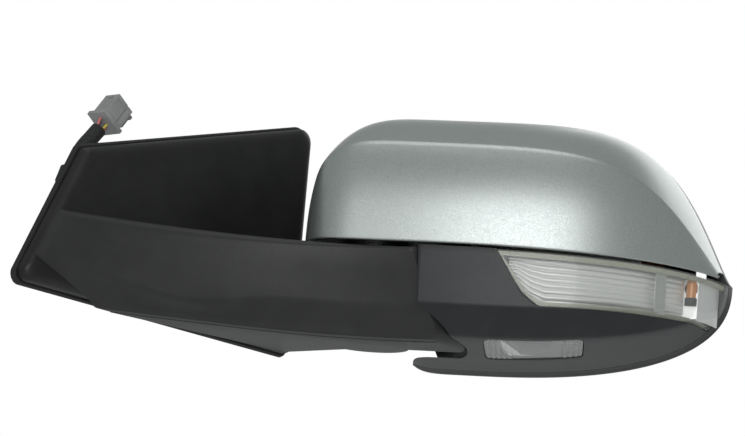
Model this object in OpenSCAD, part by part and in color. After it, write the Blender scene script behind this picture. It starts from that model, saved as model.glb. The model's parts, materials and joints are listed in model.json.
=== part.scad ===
// Left-hand door mirror with power fold, power glass, side indicator and puddle lamp.
// Row frame: +X outboard, +Y rearward (the way the glass faces), +Z up,
// origin on the door face at the middle of the landing pad. Millimetres.
// Head parts are drawn round the fold axis, foot parts in the door's own frame,
// whose X runs rearward along the door and whose Y points into the door.

/* [Foot] */
// Angle between the head and a line square to the door
foot_turn = 30; // [25:1:33]
// Distance of the head's middle line behind the landing pad, along the door
pivot_aft = 95; // [90:1:110]
// Distance of the head's middle line outside the door face
pivot_out = 80.5; // [80:0.5:95]
// Distance from the door face to the outside of the sail
sail_depth = 12; // [11.5:0.5:12]
// Reach of the sail ahead of the landing pad, at its bottom edge
sail_front = 114; // [105:1:130]
// Reach of the sail ahead of the landing pad, at its top edge
sail_nose = 74; // [68:1:84]
// Reach of the sail behind the landing pad
sail_rear = 102; // [98:1:112]
// Height of the sail's rear top corner above the parting plane
sail_top = 84; // [76:1:95]
// Height of the sail's front top corner above the parting plane
sail_nose_top = 37; // [32:1:45]
// Drop of the sail's front bottom corner below the parting plane
sail_drop = 45; // [43:1:52]
// Thickness of the rubber seal behind the sail
seal_t = 3.5; // [3:0.25:4]
// Drop of the arm's underside below the parting plane
arm_drop = 53; // [50:1:56]

/* [Door fixing] */
// Radius of the threaded bore
thread_r = 2.5; // [2:0.25:3.25]
// Outer radius of a brass insert
insert_r = 4.5; // [4:0.25:6]
// Length of a brass insert
insert_len = 7; // [6:0.5:7]
// Outer radius of the casting's fixing bosses
boss_r = 9; // [8:0.5:11]

// Radius of the locating peg that enters the door
peg_r = 4; // [3:0.5:5]
// Length of the locating peg beyond the door face
peg_len = 10; // [8:1:14]

/* [Head] */
// Reach of the head inboard of the fold axis
head_in = 42; // [36:1:43]
// Reach of the head outboard of the fold axis
head_out = 200; // [185:1:240]
// Height of the painted cap above the parting plane
cap_h = 88; // [78:1:110]
// Drop of the head's underside below the parting plane
head_drop = 59; // [54:1:66]
// Depth of the head from its front to its rear rim
head_depth = 107; // [96:1:112]
// Distance of the rear rim behind the fold axis
rim_aft = 50; // [48:1:50]
// Wall of the moulded covers
wall = 2.6; // [2:0.1:3.2]
// Radius of the arm's end, round the fold axis
break_r = 60.5; // [59:0.5:61]
// Gap at each break between arm, head and covers
break_gap = 1.5; // [1:0.1:2]

/* [Glass] */
// Thickness of the mirror glass
glass_t = 2.2; // [1.8:0.1:3]
// Recess of the glass behind the rear rim
glass_recess = 13; // [11:0.5:14]
// Width of the rim round the glass
rim_w = 8; // [6:0.5:10]
// Gap round the glass
glass_gap = 3; // [2.5:0.25:4]
// Distance of each adjusting jack from the middle of the glass drive
jack_arm = 28; // [26:0.5:29]

/* [Fold unit] */
// Distance of the fold axis ahead of the head's middle line
fold_ahead = 7.5; // [6:0.5:9]
// Outer radius of the hollow pivot post
post_r = 11; // [9:0.5:12]
// Wall of the pivot post
post_wall = 2.5; // [2:0.25:3.5]
// Running clearance of every shaft in its bore, radially
fit = 0.06; // [0.03:0.01:0.09]
// Teeth of the fold unit's worm wheel
wheel_teeth = 30; // [24:1:36]

/* [Harness] */
// Radius of the sleeved harness
sleeve_r = 4.75; // [4:0.25:5]

/* [Hidden] */
$fn = 48;
big = 500;
eps = 0.02;

// ---- frames ----
module at_door() { rotate([0, 0, 90 - foot_turn]) children(); }
module at_fold() { at_pivot() translate([0, -fold_ahead, 0]) children(); }
module at_pivot() { at_door() translate([pivot_aft, -pivot_out, 0]) rotate([0, 0, foot_turn - 90]) children(); }
// A flat outline in X and Z, drawn through y0 to y1
module slab(y0, y1) { translate([0, y1, 0]) rotate([90, 0, 0]) linear_extrude(y1 - y0) children(); }
// A round bar or bore along Y, through [x, z]
module rod_y(x, z, y0, y1, r) { translate([x, y1, z]) rotate([90, 0, 0]) cylinder(r = r, h = y1 - y0); }
module rod_x(y, z, x0, x1, r) { translate([x0, y, z]) rotate([0, 90, 0]) cylinder(r = r, h = x1 - x0); }
module block(low, high) { translate(low) cube(high - low); }
// Makes one mesh of the freeform shells inside it
module moulding() { resize([0, 0, 0]) children(); }

// ---- outline helpers ----
function unit(v) = v / norm(v);
function arc_at(a, b, c, r) =
    let (u = unit(a - b), w = unit(c - b), half = acos(u * w) / 2,
        centre = b + unit(u + w) * r / sin(half), from = b + u * r / tan(half) - centre,
        to = b + w * r / tan(half) - centre)
    [for (k = [0:6]) centre + r * unit(from * (6 - k) + to * k)];
function rounded(p, r) = let (n = len(p))
    [for (i = [0:n - 1]) each arc_at(p[(i + n - 1) % n], p[i], p[(i + 1) % n], r[i])];
function flip(list) = [for (i = [len(list) - 1:-1:0]) list[i]];
function bulge(s, p, q) = pow(max(1 - pow(s, p), 0), 1 / q);

// A closed skin over rings of equal length, each ring clockwise seen from the far end
module loft(rings) {
    n = len(rings[0]);
    m = len(rings);
    polyhedron(
        points = [for (r = rings) each r],
        faces = concat([[for (i = [n - 1:-1:0]) i]],
            [for (j = [0:m - 2]) for (i = [0:n - 1]) let (k = (i + 1) % n)
                each [[j * n + i, j * n + k, (j + 1) * n + k], [j * n + i, (j + 1) * n + k, (j + 1) * n + i]]],
            [[for (i = [0:n - 1]) (m - 1) * n + i]]));
}
// A round tube of radius r along a route of points
module sweep(route, r, sides) {
    loft([for (i = [0:len(route) - 1])
        let (along = unit(route[min(i + 1, len(route) - 1)] - route[max(i - 1, 0)]),
            across = unit(cross(along, [0.3, 1, 0.1])), up = cross(along, across))
        [for (k = [0:sides - 1]) let (a = -360 * k / sides) route[i] + r * (across * cos(a) + up * sin(a))]]);
}

// ---- head form, round the fold axis ----
crest_x = 25;       // highest point of the cap
belly_x = 50;       // lowest point of the underside
nose_x = 5;         // deepest point in plan
crease = 0.68;      // the cap's feature line, as a share of its height
crease_fill = 0.907;
function head_top(x, t = 0) = (cap_h - t) * (x < crest_x
    ? bulge((crest_x - x) / (crest_x + head_in - t), 4, 1.9)
    : pow(1 - pow((x - crest_x) / (head_out - crest_x - t), 6), 1.35));
function head_bottom(x, t = 0) = x <= t ? 0 : -(head_drop - t) * (x < belly_x
    ? bulge((belly_x - x) / (belly_x - t), 6, 2)
    : bulge((x - belly_x) / (head_out - belly_x - t), 2.5, 2.5));
function head_reach(x, t = 0) = (head_depth - t) * (x < nose_x
    ? bulge((nose_x - x) / (nose_x + head_in - t), 4, 3)
    : bulge((x - nose_x) / (head_out - nose_x - t), 3, 2));
function fill_up(f) = f <= crease ? 1 - (1 - crease_fill) * pow(f / crease, 3)
    : crease_fill * pow(max((1 - f) / (1 - crease), 0), 0.4);
function fill_low(f) = lookup(f, [[0, 1], [0.586, 0.985], [0.845, 0.79], [0.966, 0.114], [1, 0]]);
low_steps = [1, 0.985, 0.966, 0.91, 0.845, 0.72, 0.586, 0.3];
up_steps = [0, 0.2, 0.4, 0.55, 0.68, 0.73, 0.8, 0.87, 0.93, 0.97, 0.992, 1];
function head_stations(t) = concat(
    [for (a = [3:6:87]) crest_x - (crest_x + head_in - t) * cos(a)],
    [for (a = [0:4:84]) crest_x + (head_out - crest_x - t) * sin(a)],
    [crest_x + (head_out - crest_x - t) * sin(87.5)]);
// The head's outer form, t inside its surface; a cavity runs on rearward past the rim
module head_form(t = 0) {
    loft([for (x = head_stations(t)) let (top = head_top(x, t), low = head_bottom(x, t), reach = head_reach(x, t))
        concat(
            [for (f = low_steps) [x, rim_aft - reach * fill_low(f), f * low]],
            [for (f = up_steps) [x, rim_aft - reach * fill_up(f), f * top]],
            t == 0 ? [] : [[x, rim_aft + 10, top], [x, rim_aft + 10, low]])]);
}
module above(z) { block([-big, -big, z], [big, big, big]); }
module below(z) { block([-big, -big, -big], [big, big, z]); }
module ahead(y) { block([-big, -big, -big], [big, y, big]); }
module behind(y) { block([-big, y, -big], [big, big, big]); }
half_gap = break_gap / 2;
bezel_y = rim_aft - 10;             // where covers end and the bezel starts
shroud_r = break_r + break_gap;     // inboard end of the lower cover
tongue_z = -arm_drop - 1.5;         // below this the covers run on under the arm's end
end_r = 8;                          // rounding of the arm's end at its underside
// The room the arm's end turns in: a round bar with a rounded lower edge
module break_cut(r = shroud_r, low = tongue_z) {
    translate([0, -fold_ahead, 0]) rotate_extrude($fn = 96)
        polygon(concat([[0, low], [0, 0], [r, 0]], [for (a = [0:15:90]) [r - end_r + end_r * cos(a), low + end_r - end_r * sin(a)]]));
}

// Clears the covers' lower rear corner, which swings past the arm
module corner_cut(t = 0, low = tongue_z) {
    intersection() {
        slab(20 - t, big) polygon(concat([[-big, 1], [24 + t, 1]],
            [for (a = [180:15:270]) [44 + t + 20 * cos(a), -34 + 24 * sin(a)]], [[44, -big], [-big, -big]]));
        above(low);
    }
}

// ---- painted cap, lower cover, shroud, bezel ----
module painted_cap() {
    color("silver") at_pivot() moulding() difference() {
        head_form();
        head_form(wall);
        below(half_gap);
        behind(bezel_y - 0.2);
    }
}
module indicator_window(t) {
    top = -half_gap - t;
    slab(-big, bezel_y - 0.2 - t) polygon(rounded([[82 + t, top], [97 + t, -24], [107 + t / 2, -32 + t],
        [165, -29.5 + t], [head_out + 20, -26 + t], [head_out + 20, top]], [0.5, 12, 7, 60, 1, 1]));
}
puddle_x = [66, 123];
puddle_y = [-31, 12];
// The lamp's window from below: its front edge follows the bend of the underside
function puddle_edge(t) = rounded([[puddle_x[0] + 7 + t, puddle_y[0] + t], [puddle_x[1] + 7 - t, puddle_y[0] + 9.5 + t],
    [puddle_x[1] - t, puddle_y[1] - t], [puddle_x[0] + t, puddle_y[1] - t]], [5, 5, 5, 5]);
module puddle_window(t) { translate([0, 0, -big]) linear_extrude(big - 40) polygon(puddle_edge(t)); }
module lower_cover() {
    color([0.16, 0.17, 0.18]) at_pivot() moulding() difference() {
        head_form();
        difference() {
            head_form(wall);
            break_cut(shroud_r + wall, -big);
            corner_cut(wall, -big);
        }
        corner_cut();
        above(-half_gap);
        behind(bezel_y - 0.2);
        break_cut();
        indicator_window(0);
        puddle_window(0);
    }
}
module pivot_shroud() {
    color([0.1, 0.1, 0.1]) at_pivot() moulding() difference() {
        head_form(wall + 0.2);
        above(half_gap + 2);
        below(half_gap);
        behind(bezel_y - 0.3);
        translate([0, -fold_ahead, -10]) cylinder(r = 24.5, h = 40);
        block([shroud_r + 1, -big, -big], [big, big, big]);
        block([46, glass_y - 17, -big], [big, big, big]);
        rod_y(drive_x, drive_z, case_y[0] - 4, big, drive_r + 1.5);
    }
}
function glass_low(x, t) = x < 60 + t - rim_w ? 6 + t - rim_w
    : min(6 + t - rim_w, head_bottom(x, t) * bulge(max(95 - x, 0) / (35 - t + rim_w), 4, 2.5));
function glass_edge(t) = let (xs = [for (x = head_stations(t)) if (head_top(x, t) > 9 + t - rim_w) x])
    concat([for (x = xs) [x, head_top(x, t)]], flip([for (x = xs) [x, glass_low(x, t)]]));
module bezel() {
    color([0.09, 0.09, 0.09]) at_pivot() moulding() difference() {
        head_form();
        ahead(bezel_y);
        slab(-big, big) polygon(glass_edge(rim_w));
        corner_cut();
        break_cut();
    }
}

// ---- lamps ----
module indicator_lens() {
    color("gainsboro") at_pivot() moulding() intersection() {
        indicator_window(0.3);
        difference() {
            head_form();
            head_form(2.4);
        }
    }
}
bulb_at = [head_out - 17, 13, -8];
module indicator_reflector() {
    color("silver") at_pivot() moulding() difference() {
        intersection() {
            indicator_window(2);
            difference() {
                head_form(13);
                head_form(14.5);
            }
        }
        behind(bulb_at.y + 3);
        block([bulb_at.x - 5, -big, -big], [big, big, big]);
    }
}
module indicator_bulb() {
    color("orange") at_pivot() translate(bulb_at) rotate_extrude()
        polygon(concat([[0, -7.5], [3.2, -7.5], [3.2, 3]], [for (a = [15:15:90]) [3.2 * cos(a), 3 + 4.5 * sin(a)]]));
}
module bulb_socket() {
    color([0.15, 0.15, 0.15]) at_pivot() difference() {
        union() {
            translate([bulb_at.x, bulb_at.y, bulb_at.z - 10]) cylinder(r = 3.9, h = 4.5);
            block([bulb_at.x - 3, bulb_at.y, bulb_at.z - 10], [bulb_at.x + 3, bulb_at.y + 4.6, bulb_at.z - 7]);
        }
        translate([bulb_at.x, bulb_at.y, bulb_at.z - 7.5]) cylinder(r = 3.2, h = 9);
    }
}
module puddle_lens() {
    color("gainsboro") at_pivot() moulding() intersection() {
        puddle_window(0.4);
        difference() {
            head_form(0.6);
            head_form(3);
        }
    }
}
puddle_mid = [(puddle_x[0] + puddle_x[1]) / 2 + 4, (puddle_y[0] + puddle_y[1]) / 2 - 2];
module puddle_housing() {
    color([0.2, 0.2, 0.2]) at_pivot() difference() {
        block([puddle_x[0] + 8, puddle_y[0] + 13, 17 - head_drop], [puddle_x[1] - 2, puddle_y[1] - 2, 28 - head_drop]);
        block([puddle_x[0] + 10, puddle_y[0] + 15, 3 - head_drop], [puddle_x[1] - 4, puddle_y[1] - 4, 26 - head_drop]);
        translate([puddle_mid.x, puddle_mid.y, 25 - head_drop]) cylinder(r = 4, h = 5);
    }
}
module puddle_lamp() {
    color("white") at_pivot() translate([puddle_mid.x, puddle_mid.y, 18 - head_drop]) union() {
        cylinder(r = 4, h = 14);
        sphere(r = 4);
    }
}

// ---- fold unit ----
post_top = 62;
hub_z = 1;              // underside of the moving hub
case_z = [6, 44];
wheel_r = 17;
wheel_z = [13, 21];
worm_r = 4.2;
worm_len = 26;
worm_lead = 2 * PI * wheel_r / wheel_teeth;
worm_at = [0, -wheel_r - worm_r - 0.6, 17];
module pivot_post() {
    color("gainsboro") at_fold() difference() {
        translate([0, 0, -40]) cylinder(r = post_r, h = post_top + 40);
        translate([0, 0, -41]) cylinder(r = post_r - post_wall, h = post_top + 42);
    }
}
module detent_ring() {
    color("dimgray") at_fold() difference() {
        translate([0, 0, -2]) cylinder(r = 19, h = 2.8);
        translate([0, 0, -3]) cylinder(r = post_r, h = 5);
        for (a = [0, 120, 240]) rotate([0, 0, a]) translate([15.5, 0, 2.2]) sphere(r = 3);
    }
}
module post_washer() {
    color("gainsboro") at_fold() difference() {
        translate([0, 0, post_top - 4]) cylinder(r = post_r + 7, h = 3);
        translate([0, 0, post_top - 5]) cylinder(r = post_r, h = 5);
    }
}
module fold_wheel() {
    color("goldenrod") at_fold() difference() {
        translate([0, 0, wheel_z[0]]) linear_extrude(wheel_z[1] - wheel_z[0])
            polygon([for (i = [0:4 * wheel_teeth - 1]) let (a = i * 90 / wheel_teeth, r = wheel_r - (i % 4 < 2 ? 0 : 1.6))
                [r * cos(a), r * sin(a)]]);
        translate([0, 0, wheel_z[0] - 1]) cylinder(r = post_r, h = 12);
    }
}
module fold_worm() {
    color("gainsboro") at_fold() translate([-worm_len / 2, worm_at.y, worm_at.z]) rotate([0, 90, 0])
        linear_extrude(worm_len, twist = -360 * worm_len / worm_lead, slices = 40) translate([0.7, 0])
            circle(r = worm_r - 0.7, $fn = 10);
}
module fold_gearcase() {
    color([0.25, 0.25, 0.27]) at_fold() difference() {
        union() {
            translate([0, 0, case_z[0]]) cylinder(r = 22, h = case_z[1] - case_z[0]);
            block([-18, worm_at.y - worm_r - 4, case_z[0]], [18, 0, 28]);
        }
        translate([0, 0, case_z[0] + 3]) cylinder(r = 19.2, h = 29);
        block([-15, worm_at.y - worm_r - 1.5, case_z[0] + 3], [15, -8, 25]);
        translate([0, 0, case_z[0] - 1]) cylinder(r = post_r + fit, h = case_z[1]);
        rod_x(worm_at.y, worm_at.z, 10, 20, 3);
    }
}
module fold_motor() {
    color("silver") at_fold() union() {
        rod_x(worm_at.y, worm_at.z, 22, 48, 9);
        rod_x(worm_at.y, worm_at.z, 48, 51, 3.5);
        rod_x(worm_at.y, worm_at.z, 14, 22, 2);
    }
}
spring_z = [case_z[1] + 1.7, post_top - 5.8];
module fold_spring() {
    turns = 4;
    color("dimgray") at_fold() sweep([for (i = [0:14 * turns]) let (a = -i * 360 / 14)
        [(post_r + 3.2) * cos(a), (post_r + 3.2) * sin(a),
            spring_z[0] + (spring_z[1] - spring_z[0]) * i / (14 * turns)]], 1.4, 8);
}

// ---- head frame and glass drive ----
drive_x = 98;
drive_z = 14;
glass_y = rim_aft - glass_recess;           // rear surface of the glass
axis_y = glass_y - 10;                      // both tilt axes cross here
holder_y = glass_y - glass_t - 2.5;         // front of the holder plate
cover_y = [axis_y - 7, axis_y - 5];
case_y = [axis_y - 26, cover_y[0]];
drive_r = 36;
ear_a = [60, 180, 300];
module head_frame() {
    color("slategray") at_pivot() difference() {
        union() {
            translate([0, -fold_ahead, hub_z]) cylinder(r = 23.5, h = case_z[0] - hub_z);
            translate([0, 0, half_gap + 2.2]) linear_extrude(case_z[0] - half_gap - 2.2)
                polygon([[-16, -22], [60, -22], [60, 8], [30, 22], [-16, 22]]);
            slab(case_y[0] - 3, case_y[0]) polygon([[36, 3], [66, 3], [68, -28], [146, -28], [156, 0],
                [146, 48], [100, 64], [36, 64]]);
            block([36, case_y[0] - 22, 3], [39, case_y[0], 40]);
            block([57, case_y[0] - 22, 3], [60, case_y[0], 40]);
        }
        translate([0, -fold_ahead, -1]) cylinder(r = post_r + fit, h = 20);
        rod_y(drive_x, drive_z, -10, 10, 20);
        rod_y(50, 50, -10, 10, 8);
        rod_y(72, 52, -10, 10, 7);
        for (a = ear_a) rod_y(drive_x + 40 * cos(a), drive_z + 40 * sin(a), -10, 10, 1.6);
        rod_x(worm_at.y - fold_ahead, worm_at.z, 30, 70, 9.6);
    }
}
module frame_screws() {
    color("gainsboro") at_pivot() for (a = ear_a)
        translate([drive_x + 40 * cos(a), 0, drive_z + 40 * sin(a)]) {
            rod_y(0, 0, case_y[0] - 5, case_y[0] + 3, 1.6);
            rod_y(0, 0, case_y[0] + 3, case_y[0] + 5.4, 3.4);
        }
}
module actuator_case() {
    color([0.85, 0.85, 0.82]) at_pivot() difference() {
        union() {
            rod_y(drive_x, drive_z, case_y[0], case_y[1], drive_r);
            for (a = ear_a) rod_y(drive_x + 40 * cos(a), drive_z + 40 * sin(a), case_y[0], case_y[0] + 3, 6);
        }
        rod_y(drive_x, drive_z, case_y[0] + 2, case_y[1] + 1, drive_r - 2);
        for (a = ear_a) rod_y(drive_x + 40 * cos(a), drive_z + 40 * sin(a), case_y[0] - 1, case_y[0] + 4, 1.6);
    }
}
jack_r = 3;
jack_travel = 3.5;
module actuator_cover() {
    color([0.8, 0.8, 0.78]) at_pivot() difference() {
        union() {
            rod_y(drive_x, drive_z, cover_y[0], cover_y[1], drive_r);
            for (s = [-1, 1]) {
                block([drive_x + s * 18 - 2, cover_y[0] + 1, drive_z - 3], [drive_x + s * 18 + 2, axis_y + 2, drive_z + 3]);
                rod_x(axis_y, drive_z, drive_x + s * 15 - 4.5, drive_x + s * 15 + 4.5, 1.5);
            }
        }
        rod_y(drive_x, drive_z + jack_arm, cover_y[0] - 1, cover_y[1] + 1, jack_r + 0.3);
        rod_y(drive_x + jack_arm, drive_z, cover_y[0] - 1, cover_y[1] + 1, jack_r + 0.3);
    }
}
motor_y = (case_y[0] + 2 + case_y[1]) / 2;
module motor_vertical() {
    color("silver") at_pivot() union() {
        rod_x(motor_y, drive_z + 10, drive_x - 27, drive_x - 5, 6);
        rod_x(motor_y, drive_z + 10, drive_x - 5, drive_x - 1, 1);
    }
}
module motor_horizontal() {
    color("silver") at_pivot() translate([drive_x + 10, motor_y, drive_z]) union() {
        translate([0, 0, -27]) cylinder(r = 6, h = 22);
        translate([0, 0, -5]) cylinder(r = 1, h = 4);
    }
}
nut_y = [case_y[0] + 6, case_y[1] - 1];
module nut_at(x, z) {
    difference() {
        slab(nut_y[0], nut_y[1]) translate([x, z])
            polygon([for (i = [0:63]) let (a = i * 360 / 64, r = i % 4 < 2 ? 5.8 : 4.9) [r * cos(a), r * sin(a)]]);
        rod_y(x, z, nut_y[0] - 1, nut_y[1] + 1, jack_r + fit);
    }
}
module jack_at(x, z) {
    rod_y(x, z, nut_y[0] + 4, axis_y + 1, jack_r);
    translate([x, axis_y + 1, z]) sphere(r = jack_r + 0.5);
}
module nut_vertical() { color("ivory") at_pivot() nut_at(drive_x, drive_z + jack_arm); }
module nut_horizontal() { color("ivory") at_pivot() nut_at(drive_x + jack_arm, drive_z); }
module jack_vertical() { color("white") at_pivot() union() jack_at(drive_x, drive_z + jack_arm); }
module jack_horizontal() { color("white") at_pivot() union() jack_at(drive_x + jack_arm, drive_z); }
module gimbal_ring() {
    color("dimgray") at_pivot() difference() {
        rod_y(drive_x, drive_z, axis_y - 2, axis_y + 2, 15);
        rod_y(drive_x, drive_z, axis_y - 3, axis_y + 3, 10);
        rod_x(axis_y, drive_z, drive_x - 20, drive_x + 20, 1.5 + fit);
        translate([drive_x, axis_y, drive_z - 20]) cylinder(r = 1.5 + fit, h = 40);
    }
}
edge_t = rim_w + glass_gap;
module glass_holder() {
    color([0.12, 0.12, 0.12]) at_pivot() union() {
        difference() {
            slab(holder_y, holder_y + 2) polygon(glass_edge(edge_t));
            for (s = [-1, 1]) rod_y(drive_x + s * 55, drive_z, holder_y - 1, holder_y + 3, 12);
        }
        for (s = [-1, 1]) {
            block([drive_x - 3, axis_y - 1.6, drive_z + s * 18 - 2], [drive_x + 3, holder_y + 1, drive_z + s * 18 + 2]);
            translate([drive_x, axis_y, drive_z + s * 15 - 4.5]) cylinder(r = 1.5, h = 9);
        }
        for (p = [[drive_x, drive_z + jack_arm], [drive_x + jack_arm, drive_z]]) difference() {
            rod_y(p.x, p.y, axis_y - 0.4, holder_y + 1, jack_r + 2.6);
            rod_y(p.x, p.y, axis_y - 1, holder_y, jack_r + 1.2);
        }
    }
}
module heater_pad() {
    color("orangered") at_pivot() slab(holder_y + 2, holder_y + 2.5) polygon(glass_edge(edge_t + 4));
}
module mirror_glass() {
    color("lightsteelblue") at_pivot() slab(holder_y + 2.5, glass_y) polygon(glass_edge(edge_t));
}
module head_loom() {
    color([0.1, 0.1, 0.1]) at_pivot() sweep([[0, -fold_ahead, 30], [0, -fold_ahead, 60], [1, -7, 68], [6, -6, 74], [16, -5, 76], [30, -8, 74],
        [44, -12, 68], [54, -14, 56], [64, -13, 44], [72, -10, 34], [80, -6, 28]], 2.2, 8);
}

// ---- arm, round the fold axis ----
function arm_face(x) = -56.5 - 0.0027 * pow(20 - x, 2);
function arm_waist(x) = lookup(x, [[-165, -26], [-123, -35], [-97, -44], [-75, -44], [-50, -36], [60, -35]]);
function arm_tuck(x) = lookup(x, [[-165, 28], [-97, 14], [-75, 14], [-50, 17], [60, 17]]);
function arm_lean(x) = lookup(x, [[-80, 0.5], [0, 8], [60, 9]]);
sail_gap = pivot_out - sail_depth;      // fold axis to the outside of the sail
// Everything on the door's side of a plane d outside the sail
module door_side(d) { rotate([0, 0, -foot_turn]) block([-big, -big, -big], [d - sail_gap, big, big]); }
module arm_form(t) {
    intersection() {
        union() {
            break_cut(break_r - t, t - arm_drop - 0.1);
            block([-big, -big, -big], [27 - t, big, big]);
        }
        translate([0, 0, t - arm_drop]) linear_extrude(arm_drop - 2 - 2 * t) difference() {
            union() {
                translate([0, -fold_ahead]) circle(r = break_r + 4, $fn = 96);
                polygon([[-200, -200], [30 - t, -200], [30 - t, -50], [0, 0], [-200, 106 - t]]);
            }
            difference() {
                polygon([[0, -t], [200, -t], [200, 200], [-200, 200], [-200, 106 - t]]);
                translate([0, -fold_ahead]) circle(r = 24 - t);
            }
        }
        loft([for (x = [-190:10:70]) let (face = arm_face(x) + t, back = face + arm_tuck(x))
            [[x, 120, -70], [x, back + 6, -70], [x, back + 5, 0.6 - arm_drop], [x, back, 3 - arm_drop],
                [x, face + arm_lean(x), arm_waist(x)], [x, face, -8], [x, face + 1, -4], [x, face + 4, -2], [x, 120, 0]]]);
    }
}
// Where the sail's front edge lies at height z
function front_edge(z) = -sail_front + (z + sail_drop) * (sail_front - sail_nose) / (sail_nose_top + sail_drop);
// Everything ahead of a line t behind the sail's front edge
module past_front(t) {
    rotate([0, 0, 90 - foot_turn]) translate([-pivot_aft, pivot_out, 0]) slab(-big, big)
        polygon([[front_edge(-100) + t, -100], [front_edge(60) + t, 60], [-big, 60], [-big, -100]]);
}
module arm_cover() {
    color([0.17, 0.17, 0.17]) at_pivot() moulding() difference() {
        arm_form(0);
        difference() {
            arm_form(wall);
            past_front(wall + 1);
        }
        past_front(1);
        door_side(0.1);
        translate([0, -fold_ahead, -10]) cylinder(r = 21, h = 20);
    }
}

// ---- foot, in the door's frame ----
function sail_edge(t) = rounded([[-sail_front + 1.1 * t, -sail_drop + t], [-sail_nose + 0.9 * t, sail_nose_top - t],
    [sail_rear - t, sail_top - 1.2 * t], [sail_rear - t, -sail_drop - 8 + t]], [6, 5, 7, 5]);
inserts_at = [[-80, -18], [72, -26], [62, 48]];
screws_at = [[-48, 14], [86, 12], [20, 48], [86, 60]];
plate_y = [-8, -4];
grommet_at = [-69, 4];
module foot_cover() {
    color([0.1, 0.1, 0.1]) at_door() difference() {
        union() {
            difference() {
                slab(-sail_depth, -seal_t) polygon(sail_edge(0));
                slab(wall - sail_depth, 1) polygon(sail_edge(wall));
            }
            for (p = screws_at) rod_y(p.x, p.y, wall / 2 - sail_depth, plate_y[0], 4);
        }
        for (p = screws_at) rod_y(p.x, p.y, 0.8 - sail_depth, 0, 1.6);
        block([4, -sail_depth - 1, beam_low - 1], [82, wall + 1 - sail_depth, -5]);
    }
}
module door_seal() {
    color([0.06, 0.06, 0.06]) at_door() difference() {
        slab(-seal_t, 0) polygon(sail_edge(-1.5));
        slab(-seal_t - 1, 1) polygon(sail_edge(7));
    }
}
beam_low = 12 - arm_drop;
module base_casting() {
    color("silver") difference() {
        union() {
            at_door() slab(plate_y[0], plate_y[1]) polygon(sail_edge(wall + 1));
            at_door() for (p = inserts_at) rod_y(p.x, p.y, -insert_len - 1.5, 0, boss_r);
            at_door() rod_y(0, 0, plate_y[0], 0, boss_r);
            at_door() rod_y(0, 0, -1, peg_len, peg_r);
            at_pivot() translate([0, 0, beam_low]) {
                difference() {
                    linear_extrude(-6 - beam_low) polygon([[-106, -34], [-77, 16], [-60, 16], [-18, 0], [18, -14],
                        [18, -26], [0, -36], [-60, -38]]);
                    translate([0, 0, -1]) linear_extrude(28) polygon([[-94, -28], [-75, 6], [-60, 8], [-34, -2],
                        [-30, -28], [-60, -32]]);
                }
                translate([0, -fold_ahead, 0]) cylinder(r = 20, h = -2 - beam_low);
            }
        }
        at_fold() translate([0, 0, -60]) cylinder(r = post_r, h = 60);
        at_door() for (p = inserts_at) rod_y(p.x, p.y, -insert_len, 1, insert_r);
        at_door() for (p = screws_at) rod_y(p.x, p.y, plate_y[0] - 1, 1, 1.8);
        at_door() rod_y(grommet_at.x, grommet_at.y, plate_y[0] - 1, 1, sleeve_r + 3);
        at_door() rod_y(clip_peg.x, clip_peg.y, plate_y[0] - 1, 1, 2.5);
    }
}
module thread_inserts() {
    color("goldenrod") at_door() for (p = inserts_at) difference() {
        rod_y(p.x, p.y, -insert_len, 0, insert_r);
        rod_y(p.x, p.y, -insert_len - 1, 1, thread_r);
    }
}
module foot_screws() {
    color("gainsboro") at_door() for (p = screws_at) union() {
        rod_y(p.x, p.y, 1 - sail_depth, plate_y[1], 1.6);
        rod_y(p.x, p.y, plate_y[1], plate_y[1] + 2.4, 3.6);
    }
}
module harness_grommet() {
    color([0.05, 0.05, 0.05]) at_door() translate([grommet_at.x, 0, grommet_at.y]) difference() {
        union() {
            rod_y(0, 0, plate_y[0], plate_y[1], sleeve_r + 3);
            rod_y(0, 0, plate_y[1], plate_y[1] + 2, sleeve_r + 6);
            rod_y(0, 0, plate_y[0] - 1, plate_y[0], sleeve_r + 6);
            rod_y(0, 0, plate_y[1] + 2, 2, sleeve_r + 2);
        }
        rod_y(0, 0, -20, 3, sleeve_r);
    }
}
// The harness, from inside the foot to the end of its sleeve
harness_route = [[-69, -8, 4], [-69, -4, 4], [-69, 0, 4], [-69, 5, 5], [-68, 10, 8], [-67, 13, 13],
    [-65, 15, 20], [-62, 15, 28], [-59, 15, 36], [-55, 15, 43], [-50, 15, 49], [-45, 15, 55]];
clip_at = [-63.5, 15, 24];
clip_peg = [-63.5, 24];
plug_at = [-39.5, 15, 62];
plug_lean = 37;
module harness_tube() { color([0.05, 0.05, 0.05]) at_door() sweep(harness_route, sleeve_r, 12); }
module harness_clip() {
    color([0.2, 0.2, 0.2]) at_door() difference() {
        union() {
            rod_y(clip_peg.x, clip_peg.y, plate_y[0], plate_y[1], 2.5);
            rod_y(clip_peg.x, clip_peg.y, plate_y[1], clip_at.y, 4.5);
            translate(clip_at) rotate([0, 20, 0]) translate([0, 0, -5]) cylinder(r = sleeve_r + 2, h = 9);
        }
        translate(clip_at) rotate([0, 20, 0]) translate([0, 0, -9]) cylinder(r = sleeve_r + 0.3, h = 19);
    }
}
module wire_tails() {
    color("plum") at_door() for (k = [-1, 0, 1]) sweep([for (j = [0, 0.5, 1])
        let (from = [-45 + 1.6 * k, 15 + k, 55 - k], to = plug_at - [3.6, 0, 2.6] + [2.4 * k, k, -1.7 * k])
            from * (1 - j) + to * j], 0.9, 8);
}
module at_plug() { at_door() translate(plug_at) rotate([0, plug_lean, 0]) children(); }
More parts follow.
